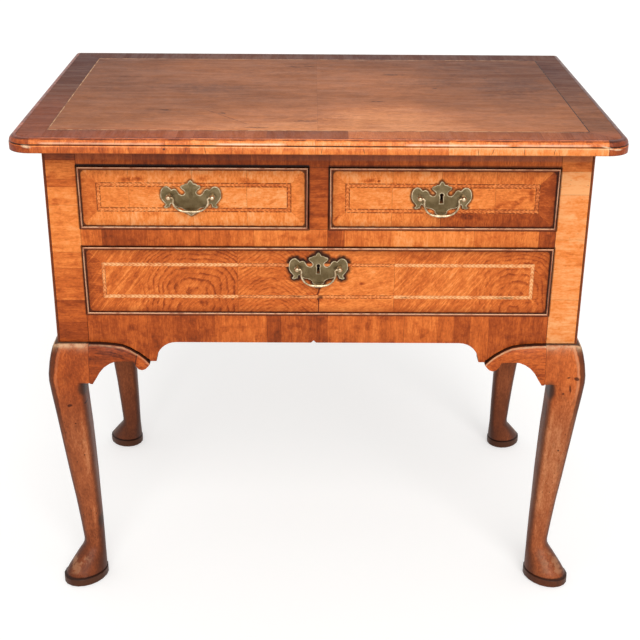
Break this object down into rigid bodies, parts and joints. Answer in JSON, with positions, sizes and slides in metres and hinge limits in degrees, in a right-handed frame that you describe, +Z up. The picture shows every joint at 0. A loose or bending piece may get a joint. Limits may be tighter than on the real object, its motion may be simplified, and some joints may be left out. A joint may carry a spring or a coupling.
{
  "type": "lowboy",
  "caption": "Walnut side table with small drawers over a long drawer, a shaped apron and cabriole legs on pad feet.",
  "frame": {"origin": "on the floor, under the middle of the top", "axes": "+Z up, the drawers open towards -Y, +X towards the right small drawer, seen from the front"},
  "size_m": [0.804, 0.523, 0.706],
  "materials": {
    "walnut": "solid walnut, old wax polish",
    "veneer": "figured walnut veneer, old wax polish",
    "oak": "unpolished oak",
    "pine": "unpolished pine",
    "brass": "old lacquered brass",
    "steel": "dull iron"
  },
  "bodies": {
    "case": {"top_board": "veneer", "top_front_moulding": "walnut", "top_left_moulding": "walnut", "top_right_moulding": "walnut", "front_left_leg": "walnut", "front_right_leg": "walnut", "rear_left_leg": "walnut", "rear_right_leg": "walnut", "left_stile": "veneer", "right_stile": "veneer", "front_left_ear": "walnut", "front_right_ear": "walnut", "left_front_side_ear": "walnut", "left_rear_side_ear": "walnut", "right_front_side_ear": "walnut", "right_rear_side_ear": "walnut", "apron": "veneer", "mid_rail": "veneer", "top_rail": "veneer", "drawer_divider": "veneer", "left_side": "veneer", "right_side": "veneer", "back_panel": "oak", "long_drawer_left_runner": "oak", "long_drawer_right_runner": "oak", "small_drawer_left_runner": "oak", "small_drawer_right_runner": "oak", "small_drawer_centre_runner": "oak"},
    "left_drawer": {"left_drawer_front": "veneer", "left_drawer_cockbead": "walnut", "left_drawer_left_side": "oak", "left_drawer_right_side": "oak", "left_drawer_back": "oak", "left_drawer_bottom": "pine", "left_drawer_backplate": "brass", "left_drawer_left_post": "brass", "left_drawer_right_post": "brass"},
    "left_bail": {"left_drawer_bail": "brass"},
    "right_drawer": {"right_drawer_front": "veneer", "right_drawer_cockbead": "walnut", "right_drawer_left_side": "oak", "right_drawer_right_side": "oak", "right_drawer_back": "oak", "right_drawer_bottom": "pine", "right_drawer_backplate": "brass", "right_drawer_left_post": "brass", "right_drawer_right_post": "brass", "right_drawer_lock": "steel"},
    "right_bail": {"right_drawer_bail": "brass"},
    "long_drawer": {"long_drawer_front": "veneer", "long_drawer_cockbead": "walnut", "long_drawer_left_side": "oak", "long_drawer_right_side": "oak", "long_drawer_back": "oak", "long_drawer_bottom": "pine", "long_drawer_backplate": "brass", "long_drawer_left_post": "brass", "long_drawer_right_post": "brass", "long_drawer_lock": "steel"},
    "long_bail": {"long_drawer_bail": "brass"}
  },
  "joints": [
    {"name": "left_drawer_slide", "type": "slide", "parent": "case", "child": "left_drawer", "axis": [0, -1, 0], "range_m": [0, 0.3]},
    {"name": "right_drawer_slide", "type": "slide", "parent": "case", "child": "right_drawer", "axis": [0, -1, 0], "range_m": [0, 0.3]},
    {"name": "long_drawer_slide", "type": "slide", "parent": "case", "child": "long_drawer", "axis": [0, -1, 0], "range_m": [0, 0.3]},
    {"name": "left_bail_swing", "type": "hinge", "parent": "left_drawer", "child": "left_bail", "pos_m": [-0.1706, -0.2264, 0.61725], "axis": [-1, 0, 0], "range_deg": [0, 150]},
    {"name": "right_bail_swing", "type": "hinge", "parent": "right_drawer", "child": "right_bail", "pos_m": [0.1638, -0.2264, 0.61725], "axis": [-1, 0, 0], "range_deg": [0, 150]},
    {"name": "long_bail_swing", "type": "hinge", "parent": "long_drawer", "child": "long_bail", "pos_m": [0, -0.2264, 0.5155], "axis": [-1, 0, 0], "range_deg": [0, 150]}
  ]
}
